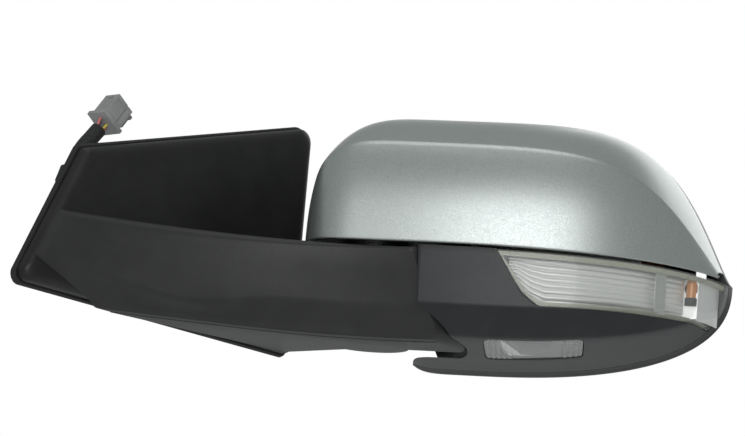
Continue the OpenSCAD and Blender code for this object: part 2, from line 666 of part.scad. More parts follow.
module connector_body() {
    color("darkgray") at_plug() difference() {
        union() {
            block([-7, -6, -1], [7, 6, 14]);
            block([-8.5, -7.5, -3.5], [8.5, 7.5, -1]);
        }
        for (x = [-4, 0.4], y = [-3, 0, 3]) translate([x, y, 6]) cylinder(r = 0.8, h = 10);
        block([2.2, -6.6, -0.5], [3, -5.4, 15]);
    }
}
module connector_lock() {
    color("lightgray") at_plug() union() {
        block([7, -4, 3], [9, 4, 12]);
        block([7, -4, 11], [10.2, 4, 13]);
    }
}

foot_cover();
arm_cover();
base_casting();
door_seal();
thread_inserts();
foot_screws();
harness_grommet();
harness_clip();
harness_tube();
wire_tails();
connector_body();
connector_lock();
pivot_post();
detent_ring();
post_washer();
fold_wheel();
painted_cap();
lower_cover();
pivot_shroud();
bezel();
head_frame();
frame_screws();
fold_gearcase();
fold_motor();
fold_worm();
fold_spring();
actuator_case();
actuator_cover();
motor_vertical();
motor_horizontal();
nut_vertical();
nut_horizontal();
jack_vertical();
jack_horizontal();
gimbal_ring();
glass_holder();
heater_pad();
mirror_glass();
indicator_lens();
indicator_reflector();
indicator_bulb();
bulb_socket();
puddle_lens();
puddle_housing();
puddle_lamp();
head_loom();
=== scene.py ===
# The looks of a left-hand car door mirror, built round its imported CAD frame.
# Shapes are worked out in millimetres round the head's middle line or in the door's frame, as the CAD is.
import json
import math
import bmesh
import bpy
from mathutils import Matrix, Vector


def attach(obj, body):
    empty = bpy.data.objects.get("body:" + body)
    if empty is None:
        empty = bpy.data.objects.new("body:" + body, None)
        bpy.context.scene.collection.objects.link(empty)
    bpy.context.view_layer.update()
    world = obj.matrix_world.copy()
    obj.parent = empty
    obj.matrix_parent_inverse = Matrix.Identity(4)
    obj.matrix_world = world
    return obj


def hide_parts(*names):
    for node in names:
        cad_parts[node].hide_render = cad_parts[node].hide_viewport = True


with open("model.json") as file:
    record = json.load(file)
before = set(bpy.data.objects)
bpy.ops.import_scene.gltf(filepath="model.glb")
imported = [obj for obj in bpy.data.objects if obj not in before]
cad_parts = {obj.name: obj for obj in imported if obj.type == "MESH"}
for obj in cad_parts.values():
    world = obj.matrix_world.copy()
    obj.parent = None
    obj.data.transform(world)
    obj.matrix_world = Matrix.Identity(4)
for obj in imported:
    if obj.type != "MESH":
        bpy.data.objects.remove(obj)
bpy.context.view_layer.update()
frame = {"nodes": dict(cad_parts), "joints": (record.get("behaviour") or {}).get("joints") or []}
MM = 0.001

# ---- frames ----
JOINTS = {j["name"]: j for j in frame["joints"]}
FOLD_AHEAD = 7.5            # the fold axis lies this far ahead of the head's middle line
PIVOT = Vector(JOINTS["head_fold"]["pos_m"]) + Vector((0, FOLD_AHEAD * MM, 0))
FOOT_TURN = math.radians(60)
DOOR_PLACE = Matrix.Scale(MM, 4) @ Matrix.Rotation(FOOT_TURN, 4, "Z")
HEAD_PLACE = Matrix.Translation(PIVOT) @ Matrix.Scale(MM, 4)


# ---- camera ----
VIEW_AZIMUTH = math.radians(15)
VIEW_ELEVATION = math.radians(-10)
VIEW_ROLL = math.radians(5)
VIEW_DISTANCE = 2.4
VIEW_WIDTH = 0.432          # metres across the picture at the head's middle line
VIEW_OFFSET = (0.0032, -0.0232)     # where that line lies from the middle of the picture


def make_camera():
    right = Vector((math.cos(VIEW_AZIMUTH), math.sin(VIEW_AZIMUTH), 0))
    back = Vector((math.sin(VIEW_AZIMUTH) * math.cos(VIEW_ELEVATION),
                   -math.cos(VIEW_AZIMUTH) * math.cos(VIEW_ELEVATION), math.sin(VIEW_ELEVATION)))
    up = back.cross(right)
    across = right * math.cos(VIEW_ROLL) + up * math.sin(VIEW_ROLL)
    upward = up * math.cos(VIEW_ROLL) - right * math.sin(VIEW_ROLL)
    data = bpy.data.cameras.new("camera")
    data.sensor_width = 36
    data.lens = data.sensor_width * VIEW_DISTANCE / VIEW_WIDTH
    camera = bpy.data.objects.new("camera", data)
    bpy.context.scene.collection.objects.link(camera)
    middle = PIVOT - across * VIEW_OFFSET[0] - upward * VIEW_OFFSET[1]
    turn = Matrix((across, upward, back)).transposed().to_4x4()
    camera.matrix_world = Matrix.Translation(middle + back * VIEW_DISTANCE) @ turn
    bpy.context.scene.camera = camera


make_camera()


# ---- materials ----
def shader(name, color, rough, metal=0.0, **more):
    material = bpy.data.materials.new(name)
    material.use_nodes = True
    bsdf = material.node_tree.nodes["Principled BSDF"]
    bsdf.inputs["Base Color"].default_value = (*color, 1)
    bsdf.inputs["Roughness"].default_value = rough
    bsdf.inputs["Metallic"].default_value = metal
    for key, value in more.items():
        bsdf.inputs[key.replace("_", " ")].default_value = value
    return material


def noise(material, scale, detail, kind="ShaderNodeTexNoise"):
    nodes, links = material.node_tree.nodes, material.node_tree.links
    place = nodes.new("ShaderNodeTexCoord")
    texture = nodes.new(kind)
    texture.inputs["Scale"].default_value = scale
    if "Detail" in texture.inputs:
        texture.inputs["Detail"].default_value = detail
    links.new(place.outputs["Object"], texture.inputs["Vector"])
    return texture.outputs["Distance" if kind == "ShaderNodeTexVoronoi" else "Fac"]


def add_bump(material, height, strength, distance, last=None):
    nodes, links = material.node_tree.nodes, material.node_tree.links
    bump = nodes.new("ShaderNodeBump")
    bump.inputs["Strength"].default_value = strength
    bump.inputs["Distance"].default_value = distance
    links.new(height, bump.inputs["Height"])
    if last is not None:
        links.new(last, bump.inputs["Normal"])
    links.new(bump.outputs["Normal"], nodes["Principled BSDF"].inputs["Normal"])
    return bump.outputs["Normal"]


def ramp(material, source, socket, low, high, at=(0.35, 0.65)):
    """Drives a colour or a roughness from a texture, between two values."""
    nodes, links = material.node_tree.nodes, material.node_tree.links
    if isinstance(low, tuple):
        ends = nodes.new("ShaderNodeValToRGB")
        ends.color_ramp.elements[0].position, ends.color_ramp.elements[1].position = at
        ends.color_ramp.elements[0].color = (*low, 1)
        ends.color_ramp.elements[1].color = (*high, 1)
        links.new(source, ends.inputs["Fac"])
        out = ends.outputs["Color"]
    else:
        ends = nodes.new("ShaderNodeMapRange")
        ends.inputs["From Min"].default_value, ends.inputs["From Max"].default_value = at
        ends.inputs["To Min"].default_value = low
        ends.inputs["To Max"].default_value = high
        links.new(source, ends.inputs["Value"])
        out = ends.outputs["Result"]
    links.new(out, nodes["Principled BSDF"].inputs[socket])


def silver_paint():
    """Metallic paint: fine flake in the colour coat under a clear lacquer."""
    m = shader("silver_paint", (0.47, 0.5, 0.485), 0.4, 0.8, Coat_Weight=0.35, Coat_Roughness=0.3)
    flake = noise(m, 2600, 1)
    ramp(m, flake, "Base Color", (0.41, 0.45, 0.44), (0.56, 0.60, 0.59), (0.38, 0.62))
    ramp(m, noise(m, 1500, 1), "Roughness", 0.3, 0.42)
    add_bump(m, flake, 0.05, 0.0002)
    return m


def grained(name, low, high, rough, grain=1500, depth=0.12):
    """Moulded plastic with a fine leather grain and faint mottling."""
    m = shader(name, low, rough, Specular_IOR_Level=0.45)
    ramp(m, noise(m, 60, 3), "Base Color", low, high)
    ramp(m, noise(m, 900, 3), "Roughness", rough - 0.02, rough + 0.03)
    coarse = add_bump(m, noise(m, grain, 2, "ShaderNodeTexVoronoi"), depth, 0.0004)
    add_bump(m, noise(m, grain * 2.2, 3), depth * 0.8, 0.0002, coarse)
    return m


def metal(name, color, rough, scratch=700):
    m = shader(name, color, rough, 1.0)
    ramp(m, noise(m, scratch, 4), "Roughness", rough - 0.08, rough + 0.1)
    add_bump(m, noise(m, scratch * 1.5, 3), 0.08, 0.0002)
    return m


def plastic(name, color, rough):
    m = shader(name, color, rough)
    ramp(m, noise(m, 120, 3), "Base Color", color, tuple(min(1, c * 1.15 + 0.004) for c in color))
    add_bump(m, noise(m, 1200, 2), 0.06, 0.0002)
    return m


def clear(name, color, rough, alpha):
    m = shader(name, color, rough, IOR=1.49, Alpha=alpha, Coat_Weight=1.0)
    ramp(m, noise(m, 250, 2), "Roughness", rough, rough + 0.03)
    return m


def woven():
    """Black woven sleeving, its crossing strands in the bump."""
    m = shader("harness_sleeve_weave", (0.018, 0.018, 0.02), 0.75)
    ramp(m, noise(m, 900, 2), "Base Color", (0.012, 0.012, 0.013), (0.035, 0.035, 0.037))
    add_bump(m, noise(m, 1300, 1, "ShaderNodeTexVoronoi"), 0.5, 0.0005)
    return m


M = {
    "silver_paint": silver_paint(),
    "black_moulding": grained("black_moulding", (0.0095, 0.0095, 0.009), (0.014, 0.014, 0.0135), 0.42),
    # The arm is the same black grained plastic as the sail; this lighter copy paints in the light its face
    # catches: painted light.
    "arm_lit_moulding": grained("arm_lit_moulding", (0.021, 0.021, 0.021), (0.026, 0.026, 0.026), 0.44),
    "grey_moulding": grained("grey_moulding", (0.014, 0.0155, 0.0175), (0.019, 0.021, 0.0235), 0.36,
                             2000, 0.06),
    "cast_alloy": metal("cast_alloy", (0.6, 0.6, 0.61), 0.48, 500),
    "seal_rubber": plastic("seal_rubber", (0.012, 0.012, 0.012), 0.7),
    "brass": metal("brass", (0.72, 0.53, 0.24), 0.32),
    "steel": metal("steel", (0.62, 0.62, 0.62), 0.3),
    "motor_can": metal("motor_can", (0.66, 0.66, 0.66), 0.25),
    "harness_black": woven(),
    "connector_grey": plastic("connector_grey", (0.30, 0.30, 0.305), 0.42),
    "connector_latch": plastic("connector_latch", (0.22, 0.22, 0.215), 0.42),
    "natural_nylon": plastic("natural_nylon", (0.72, 0.7, 0.62), 0.4),
    "heater_film": plastic("heater_film", (0.45, 0.16, 0.07), 0.4),
    "mirror": shader("mirror", (0.88, 0.9, 0.91), 0.02, 1.0),
    "clear_lens": clear("clear_lens", (0.75, 0.77, 0.76), 0.02, 0.12),
    "ribbed_lens": clear("ribbed_lens", (0.42, 0.43, 0.43), 0.08, 0.6),
    "reflector": shader("reflector", (0.92, 0.925, 0.91), 0.28, 0.4),
    "amber_bulb": shader("amber_bulb", (1.0, 0.36, 0.02), 0.12, Transmission_Weight=0.35, Coat_Weight=1.0),
    "lamp_white": plastic("lamp_white", (0.85, 0.85, 0.8), 0.25),
    "wire_pink": plastic("wire_pink", (0.75, 0.22, 0.2), 0.35),
    "wire_purple": plastic("wire_purple", (0.3, 0.12, 0.4), 0.35),
    "wire_yellow": plastic("wire_yellow", (0.75, 0.6, 0.1), 0.35),
    "lens_rim": plastic("lens_rim", (0.36, 0.37, 0.28), 0.3),
    "reflex_bar": metal("reflex_bar", (0.7, 0.72, 0.7), 0.3, 2500),
}
ramp(M["mirror"], noise(M["mirror"], 40, 2), "Roughness", 0.01, 0.03)
ramp(M["amber_bulb"], noise(M["amber_bulb"], 200, 2), "Roughness", 0.1, 0.2)


# ---- mesh helpers ----
def make_object(name, verts, faces, place):
    mesh = bpy.data.meshes.new(name)
    mesh.from_pydata([place @ Vector(v) for v in verts], [], faces)
    mesh.validate()
    obj = bpy.data.objects.new(name, mesh)
    bpy.context.scene.collection.objects.link(obj)
    return obj


def loft(name, rings, place, cap=True, loop=True):
    """A skin over rings of equal length; loop joins each ring's ends, cap closes the first and last."""
    n, m = len(rings[0]), len(rings)
    faces = []
    for j in range(m - 1):
        for i in range(n if loop else n - 1):
            k = (i + 1) % n
            faces.append((j * n + i, (j + 1) * n + i, (j + 1) * n + k, j * n + k))
    if cap:
        faces.append(tuple(range(n)))
        faces.append(tuple((m - 1) * n + i for i in reversed(range(n))))
    return make_object(name, [p for ring in rings for p in ring], faces, place)


def prism(name, outline, low, high, place, axis="y"):
    """An outline in X and Z drawn along Y, or in X and Y drawn along Z."""
    at = (lambda p, d: (p[0], d, p[1])) if axis == "y" else (lambda p, d: (p[0], p[1], d))
    obj = loft(name, [[at(p, low) for p in outline], [at(p, high) for p in outline]], place)
    fix_normals(obj)
    return obj


def fix_normals(obj):
    bm = bmesh.new()
    bm.from_mesh(obj.data)
    bmesh.ops.remove_doubles(bm, verts=bm.verts, dist=1e-7)
    bmesh.ops.recalc_face_normals(bm, faces=bm.faces)
    bm.to_mesh(obj.data)
    bm.free()


def bake(obj):
    """Turns the object's modifiers into mesh."""
    bpy.context.view_layer.update()
    done = bpy.data.meshes.new_from_object(obj.evaluated_get(bpy.context.evaluated_depsgraph_get()))
    obj.modifiers.clear()
    obj.data = done


def drop(*objs):
    for obj in objs:
        bpy.data.objects.remove(obj)


def csg(obj, *steps):
    for way, tool in steps:
        mod = obj.modifiers.new("cut", "BOOLEAN")
        mod.operation = way
        mod.object = tool
        mod.solver = "EXACT"
        bake(obj)
    return obj


def soften(obj, width, angle, segments=2):
    mod = obj.modifiers.new("edges", "BEVEL")
    mod.width = width * MM
    mod.segments = segments
    mod.limit_method = "ANGLE"
    mod.angle_limit = math.radians(angle)
    bake(obj)
    return obj


def thicken(obj, wall, offset=-1, even=False):
    """Gives a skin its wall: offset -1 grows it inward, 0 to both sides."""
    mod = obj.modifiers.new("wall", "SOLIDIFY")
    mod.thickness = wall * MM
    mod.offset = offset
    mod.use_quality_normals = even
    bake(obj)


def finish_piece(obj, body, material, replaces=(), smooth=32):
    obj.data.polygons.foreach_set("use_smooth", [True] * len(obj.data.polygons))
    obj.data.set_sharp_from_angle(angle=math.radians(smooth))
    obj.data.materials.clear()
    obj.data.materials.append(M[material])
    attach(obj, body)
    if replaces:
        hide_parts(*replaces)
    return obj


def arc(cx, cy, r, start, end, steps):
    return [(cx + r * math.cos(math.radians(start + (end - start) * k / steps)),
             cy + r * math.sin(math.radians(start + (end - start) * k / steps))) for k in range(steps + 1)]


def rounded(points, radii, steps=8):
    out = []
    n = len(points)
    for i, (b, r) in enumerate(zip(points, radii)):
        b = Vector(b)
        u = (Vector(points[i - 1]) - b).normalized()
        w = (Vector(points[(i + 1) % n]) - b).normalized()
        half = math.acos(max(-1, min(1, u.dot(w)))) / 2
        centre = b + (u + w).normalized() * r / math.sin(half)
        first = b + u * r / math.tan(half) - centre
        last = b + w * r / math.tan(half) - centre
        for k in range(steps + 1):
            out.append(tuple(centre + (first * (steps - k) + last * k).normalized() * r))
    return out


def lookup(x, table):
    if x <= table[0][0]:
        return table[0][1]
    for (x0, y0), (x1, y1) in zip(table, table[1:]):
        if x <= x1:
            return y0 + (y1 - y0) * (x - x0) / (x1 - x0)
    return table[-1][1]


def soft_lookup(x, table, reach):
    """The table's value averaged over a short stretch, so its corners become curves."""
    return sum(lookup(x + reach * k / 4, table) for k in range(-4, 5)) / 9


# ---- harness: the woven sleeve and its wire tails ----
HARNESS_ROUTE = [(-69, 2, 4), (-69, 5, 5), (-68, 10, 8), (-67, 13, 13), (-65, 15, 20), (-62, 15, 28),
                 (-59, 15, 36), (-55, 15, 43), (-50, 15, 49), (-45, 15, 55)]
TAIL_FROM, TAIL_TO = (-45, 15, 55), (-42, 15, 59.4)
SLEEVE_R, WIRE_R = 4.75, 0.75


def tube_curve(name, route, radius, material, body):
    data = bpy.data.curves.new(name, "CURVE")
    data.dimensions = "3D"
    data.bevel_depth = radius * MM
    data.bevel_resolution = 5
    data.resolution_u = 8
    data.use_fill_caps = True
    spline = data.splines.new("BEZIER")
    spline.bezier_points.add(len(route) - 1)
    for point, at in zip(spline.bezier_points, route):
        point.co = DOOR_PLACE @ Vector(at)
        point.handle_left_type = point.handle_right_type = "AUTO"
    obj = bpy.data.objects.new(name, data)
    bpy.context.scene.collection.objects.link(obj)
    data.materials.append(M[material])
    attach(obj, body)
    return obj


def make_harness():
    sleeve = tube_curve("harness_sleeve", HARNESS_ROUTE, SLEEVE_R, "harness_black", "foot")
    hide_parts("harness_tube")
    tails = [("wire_pink", -1.9, -0.6), ("wire_purple", -0.6, 1.2), ("wire_yellow", 0.7, -1.1),
             ("wire_pink", 1.9, 0.9), ("wire_purple", 0.2, 2.3)]
    for k, (color, side, deep) in enumerate(tails):
        apart = Vector((side, deep, -0.7 * side))
        route = [tuple(Vector(TAIL_FROM).lerp(Vector(TAIL_TO), share) + spread * apart)
                 for share, spread in ((-0.3, 0.8), (0.1, 1.0), (0.6, 1.5), (1.15, 1.8))]
        tube_curve(f"wire_tail_{k + 1}", route, WIRE_R, color, "foot")
    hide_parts("wire_tails")


# ---- connector ----
PLUG_AT = (-39.5, 15, 62)
PLUG_LEAN = math.radians(37)
PIN_HALF = 0.9
PLUG_PLACE = DOOR_PLACE @ Matrix.Translation(PLUG_AT) @ Matrix.Rotation(PLUG_LEAN, 4, "Y")


def box_object(name, low, high, place):
    outline = [(low[0], low[2]), (high[0], low[2]), (high[0], high[2]), (low[0], high[2])]
    return prism(name, outline, low[1], high[1], place)


def make_connector():
    body = box_object("connector_housing", (-7, -6, -1), (7, 6, 14), PLUG_PLACE)
    tools = [box_object("t", (-8.5, -7.5, -3.5), (8.5, 7.5, -1.02), PLUG_PLACE)]
    csg(body, ("UNION", tools[0]))
    cuts = [((2.2, -7, -0.6), (2.9, -5.4, 15)), ((-7.4, -2.6, 3), (-6.2, 2.6, 12)),
            ((-5.6, -7, 10.6), (0.8, -5.6, 11.2))]
    cuts += [((x - PIN_HALF, y - PIN_HALF, 5), (x + PIN_HALF, y + PIN_HALF, 15))
             for x in (-4.2, -0.9, 4.9) for y in (-3.2, 0, 3.2)]
    for low, high in cuts:
        tool = box_object("t", low, high, PLUG_PLACE)
        csg(body, ("DIFFERENCE", tool))
        tools.append(tool)
    drop(*tools)
    soften(body, 0.35, 40)
    finish_piece(body, "foot", "connector_grey", ["connector_body"])
    latch = box_object("connector_latch_arm", (7.05, -4, 3), (9, 4, 12), PLUG_PLACE)
    nose = box_object("t", (7.05, -4, 11), (10.2, 4, 13), PLUG_PLACE)
    slot_cut = box_object("t", (8.2, -1.6, 4.5), (9.4, 1.6, 10), PLUG_PLACE)
    csg(latch, ("UNION", nose), ("DIFFERENCE", slot_cut))
    drop(nose, slot_cut)
    soften(latch, 0.3, 40)
    finish_piece(latch, "foot", "connector_latch", ["connector_lock"])
    return [body, latch]


CONNECTOR = make_connector()
make_harness()


# ---- head form: the CAD's own formulas, in millimetres ----
HEAD_IN, HEAD_OUT, CAP_H, HEAD_DROP, HEAD_DEPTH = 42, 200, 88, 59, 107
RIM_AFT, WALL = 50, 2.6
CREST_X, BELLY_X, NOSE_X = 25, 50, 5
CREASE, CREASE_FILL = 0.68, 0.907
HALF_GAP = 0.75
BEZEL_Y = RIM_AFT - 10
BREAK_R, BREAK_GAP = 60.5, 1.5
SHROUD_R = BREAK_R + BREAK_GAP
END_R = 8                   # the arm's lower edge at its round end
TONGUE_Z = -54.5            # below this the covers run on under the arm's end
BIG = 400                   # longer than anything it cuts
LOW_FILL = [(0, 1), (0.586, 0.985), (0.845, 0.79), (0.966, 0.114), (1, 0)]


def bulge(s, p, q):
    return max(1 - max(s, 0) ** p, 0) ** (1 / q)


def head_top(x, t=0):
    if x < CREST_X:
        return (CAP_H - t) * bulge((CREST_X - x) / (CREST_X + HEAD_IN - t), 4, 1.9)
    return (CAP_H - t) * max(1 - ((x - CREST_X) / (HEAD_OUT - CREST_X - t)) ** 6, 0) ** 1.35


def head_bottom(x, t=0):
    if x <= t:
        return 0
    if x < BELLY_X:
        return -(HEAD_DROP - t) * bulge((BELLY_X - x) / (BELLY_X - t), 6, 2)
    return -(HEAD_DROP - t) * bulge((x - BELLY_X) / (HEAD_OUT - BELLY_X - t), 2.5, 2.5)


def head_reach(x, t=0):
    if x < NOSE_X:
        return (HEAD_DEPTH - t) * bulge((NOSE_X - x) / (NOSE_X + HEAD_IN - t), 4, 3)
    return (HEAD_DEPTH - t) * bulge((x - NOSE_X) / (HEAD_OUT - NOSE_X - t), 3, 2)


def fill_up(f):
    if f <= CREASE:
        return 1 - (1 - CREASE_FILL) * (f / CREASE) ** 3
    return CREASE_FILL * max((1 - f) / (1 - CREASE), 0) ** 0.4


def fill_low(f):
    if f >= 0.999:
        return 0
    return max(soft_lookup(f, LOW_FILL, 0.022), 0)


def head_stations(t, fine=90):
    span_in, span_out = CREST_X + HEAD_IN - t, HEAD_OUT - CREST_X - t
    turns = [2.4 + 87.6 * k / (fine // 2) for k in range(fine // 2)]
    inner = [CREST_X - span_in * math.cos(math.radians(a)) for a in turns]
    outer = [CREST_X + span_out * math.sin(math.radians(88.6 * k / fine))
             for k in range(fine + 1)]
    return inner + outer


# Shares of a section's height at which it has points, below and above the parting line.
LOW_STEPS = [1, 0.996, 0.99, 0.982, 0.974, 0.966, 0.958, 0.95, 0.94, 0.925, 0.91, 0.89, 0.875, 0.865, 0.855,
             0.845, 0.835, 0.825, 0.81, 0.79, 0.75, 0.7, 0.65, 0.62, 0.605, 0.595, 0.586, 0.577, 0.567,
             0.55, 0.5, 0.4, 0.3, 0.2, 0.1]
UP_STEPS = [k / 25 * CREASE for k in range(26)] + [
    CREASE + (1 - CREASE) * math.sin(math.radians(90 * k / 26)) for k in range(1, 27)]


def head_ring(x, t, rear):
    top, low, reach = head_top(x, t), head_bottom(x, t), head_reach(x, t)
    ring = [(x, RIM_AFT - reach * fill_low(f), f * low) for f in LOW_STEPS]
    ring += [(x, RIM_AFT - reach * fill_up(f), f * top) for f in UP_STEPS]
    if rear is not None:
        ring += [(x, rear, top), (x, rear, low)]
    return ring


def head_solid(name, t=0, rear=None):
    obj = loft(name, [head_ring(x, t, rear) for x in head_stations(t)], HEAD_PLACE)
    fix_normals(obj)
    return obj


def head_box(name, low, high):
    return box_object(name, low, high, HEAD_PLACE)


def break_cylinder(name, r, bottom=TONGUE_Z, top=0):
    rings = [(r - END_R + END_R * math.cos(a), bottom + END_R - END_R * math.sin(a))
             for a in [math.radians(90 - 9 * k) for k in range(11)]] + [(r, top)]
    bar = loft(name, [[(x, y, z) for x, y in arc(0, -FOLD_AHEAD, size, 0, 358, 179)] for size, z in rings],
               HEAD_PLACE)
    fix_normals(bar)
    return bar


def corner_outline(t):
    """What the arm takes out of the head's inboard lower corner."""
    turn = [(44 + t + 20 * math.cos(math.radians(a)), -34 + 24 * math.sin(math.radians(a)))
            for a in range(180, 271, 5)]
    return [(-BIG, 1), (24 + t, 1)] + turn + [(44, -BIG), (-BIG, -BIG)]


def corner_prism(t=0, low=TONGUE_Z):
    corner = prism("corner", corner_outline(t), 20 - t, BIG, HEAD_PLACE)
    room = head_box("room", (-2 * BIG, 0, low), (BIG, 2 * BIG, BIG))
    csg(corner, ("INTERSECT", room))
    drop(room)
    return corner


# ---- painted cap: a skin with a turned-in lower edge ----
CAP_T = 1.6


def fill_inverse(target):
    """The share of the height at which the cap's section reaches back to a depth."""
    low, high = 0.0, 1.0
    for _ in range(40):
        mid = (low + high) / 2
        low, high = (mid, high) if fill_up(mid) > target else (low, mid)
    return low


def cap_ring(x, steps=64):
    """From inside the lower edge, round it, up the front and over to the rear edge."""
    top, reach = head_top(x), head_reach(x)
    last = fill_inverse((RIM_AFT - BEZEL_Y + 0.3) / reach)
    first = min(HALF_GAP / top, last)
    edge_r = min(1.1, (last - first) * top / 3)
    front = RIM_AFT - reach
    ring = [(x, front + WALL, HALF_GAP + 0.4), (x, front + edge_r + 0.5, HALF_GAP)]
    ring += [(x, front + edge_r * (1 - math.sin(a)), HALF_GAP + edge_r * (1 - math.cos(a)))
             for a in [math.radians(18 * k) for k in range(6)]]
    begin = (HALF_GAP + edge_r) / top
    corner = min(CREASE, last)
    below = max(int(steps * 0.4), 4)
    shares = [begin + (corner - begin) * k / below for k in range(1, below + 1)]
    shares += [corner + (last - corner) * math.sin(math.radians(90 * k / (steps - below)))
               for k in range(1, steps - below + 1)]
    ring += [(x, RIM_AFT - reach * fill_up(f), f * top) for f in shares]
    return ring


def make_cap():
    xs = [x for x in head_stations(0, 130) if head_reach(x) > RIM_AFT - BEZEL_Y + 1.2 and head_top(x) > 6]
    cap = loft("painted_cap_skin", [cap_ring(x) for x in xs], HEAD_PLACE, cap=False, loop=False)
    fix_normals(cap)
    thicken(cap, CAP_T, even=True)
    finish_piece(cap, "head", "silver_paint", ["painted_cap"], 40)


# ---- lower cover, with its lamp windows ----
def indicator_outline(t):
    top = -HALF_GAP - t
    return rounded([(82 + t, top), (97 + t, -24), (107 + t / 2, -32 + t), (165, -29.5 + t),
                    (HEAD_OUT + 20, -26 + t), (HEAD_OUT + 20, top)], [0.5, 12, 7, 60, 1, 1])


PUDDLE_X, PUDDLE_Y = (66, 123), (-31, 12)
PUDDLE_SHIFT, PUDDLE_SLANT = 7, 9.5     # how far its front edge lies outboard, and slants back


def puddle_outline(t):
    (x0, x1), (y0, y1) = PUDDLE_X, PUDDLE_Y
    return rounded([(x0 + PUDDLE_SHIFT + t, y0 + t), (x1 + PUDDLE_SHIFT - t, y0 + PUDDLE_SLANT + t),
                    (x1 - t, y1 - t), (x0 + t, y1 - t)], [5] * 4)


def make_lower_cover():
    cover = head_solid("lower_cover_skin")
    inner = head_solid("inner", WALL, RIM_AFT + 10)
    keep = [head_box("k", (-BIG, -BIG, -BIG), (BIG, BEZEL_Y - 0.3, -HALF_GAP)),
            break_cylinder("b", SHROUD_R),
            prism("w", indicator_outline(0), -BIG, BEZEL_Y + 5, HEAD_PLACE),
            prism("p", puddle_outline(0), -BIG, -40, HEAD_PLACE, "z"), corner_prism(),
            break_cylinder("b2", SHROUD_R + WALL, -BIG), corner_prism(WALL, -BIG)]
    csg(inner, ("DIFFERENCE", keep[5]), ("DIFFERENCE", keep[6]))
    csg(cover, ("DIFFERENCE", inner), ("INTERSECT", keep[0]), *[("DIFFERENCE", tool) for tool in keep[1:5]])
    drop(inner, *keep)
    soften(cover, 0.45, 42, 2)
    finish_piece(cover, "head", "grey_moulding", ["lower_cover"], 30)


# ---- bezel round the glass ----
RIM_W = 8


def glass_low(x, t):
    flat = 6 + t - RIM_W
    if x < 60 + t - RIM_W:
        return flat
    return min(flat, head_bottom(x, t) * bulge(max(95 - x, 0) / (35 - t + RIM_W), 4, 2.5))


def glass_outline(t):
    xs = [x for x in head_stations(t, 100) if head_top(x, t) > 9 + t - RIM_W]
    return [(x, head_top(x, t)) for x in xs] + [(x, glass_low(x, t)) for x in reversed(xs)]


def make_bezel():
    bezel = head_solid("bezel_ring")
    tools = [head_box("k", (-BIG, BEZEL_Y, -BIG), (BIG, RIM_AFT + 5, BIG)),
             prism("g", glass_outline(RIM_W), -BIG, BIG, HEAD_PLACE), corner_prism(),
             break_cylinder("b", SHROUD_R)]
    csg(bezel, ("INTERSECT", tools[0]), *[("DIFFERENCE", tool) for tool in tools[1:]])
    drop(*tools)
    soften(bezel, 0.9, 40, 3)
    finish_piece(bezel, "head", "black_moulding", ["bezel"], 35)


# ---- indicator: clear lens, pale frame, and a fluted reflector with a pocket for the bulb ----
def window_shell(name, outer_t, inner_t, window_t, hollow_t=None):
    shell = head_solid(name, outer_t)
    tools = [head_solid("i", inner_t, RIM_AFT + 10),
             prism("w", indicator_outline(window_t), -BIG, BEZEL_Y - 0.5 - window_t, HEAD_PLACE)]
    csg(shell, ("DIFFERENCE", tools[0]), ("INTERSECT", tools[1]))
    if hollow_t is not None:
        tools.append(prism("h", indicator_outline(hollow_t), -BIG, BIG, HEAD_PLACE))
        csg(shell, ("DIFFERENCE", tools[2]))
    drop(*tools)
    return shell


def make_indicator():
    lens = window_shell("indicator_lens_cover", 0, 2.2, 0.35)
    soften(lens, 0.5, 42, 2)
    finish_piece(lens, "head", "clear_lens", ["indicator_lens"], 30)
    rim = window_shell("indicator_rim", 2.3, 5.5, 0.8, 3.2)
    finish_piece(rim, "head", "lens_rim", smooth=30)


FLUTES = 8
BULB_AT = (HEAD_OUT - 17, 13, -8)
REFLECTOR_T, STRIP_T = 11, 4.5      # depths below the head's skin
FLUTE_DEEP = 1.2
POCKET_R = 4.1
GLASS_CLEAR_Y = 12                  # the reflector stays ahead of this, clear of the tilting glass


def reflector_point(x, share):
    """A point on the reflector, share 0 at its lower edge and 1 at its upper."""
    low = lookup(x, [(92, -18), (100, -26), (108, -29.5), (165, -27.3), (200, -24)])
    z = low + (-HALF_GAP - 2.2 - low) * share
    reach = head_reach(x, REFLECTOR_T)
    y = RIM_AFT - reach * fill_low(z / min(head_bottom(x, REFLECTOR_T), -40))
    return x, min(y + FLUTE_DEEP * (1 - abs(math.sin(math.pi * FLUTES * share))), GLASS_CLEAR_Y), z


def lens_strip(name, xs, low, height, wall):
    """An upright strip just behind the lens, from a height upward."""
    zs = [low + height * k / 12 for k in range(13)]
    rings = [[(x, RIM_AFT - head_reach(x, STRIP_T) * fill_low(z / -45), z) for z in zs] for x in xs]
    strip = loft(name, rings, HEAD_PLACE, cap=False, loop=False)
    fix_normals(strip)
    thicken(strip, wall)
    return strip


def make_reflector():
    rings = []
    steps = FLUTES * 10
    x = 87.5
    while x < 187.5:
        rings.append([reflector_point(x, k / steps) for k in range(steps + 1)])
        x += 1.2
    plate = loft("indicator_reflector_flutes", rings, HEAD_PLACE, cap=False, loop=False)
    fix_normals(plate)
    thicken(plate, 1.0, 0)
    pocket = prism("pocket", arc(0, 0, POCKET_R, 0, 330, 22), -BIG, 60,
                   HEAD_PLACE @ Matrix.Translation(BULB_AT))
    csg(plate, ("DIFFERENCE", pocket))
    drop(pocket)
    finish_piece(plate, "head", "reflector", ["indicator_reflector"], 50)
    bar = lens_strip("indicator_reflex_bar", [167 + 0.5 * k for k in range(11)], -27, 24, 1.2)
    finish_piece(bar, "head", "reflex_bar", smooth=30)
    end = lens_strip("indicator_end_reflector", [186.5 + 0.8 * k for k in range(11)], -26, 23, 0.8)
    finish_piece(end, "head", "reflector", smooth=30)


# ---- puddle lamp lens ----
LENS_T = 1.6
RIBS_IN, RIBS_OUT, RIB_PITCH = 16, 12, 3.2


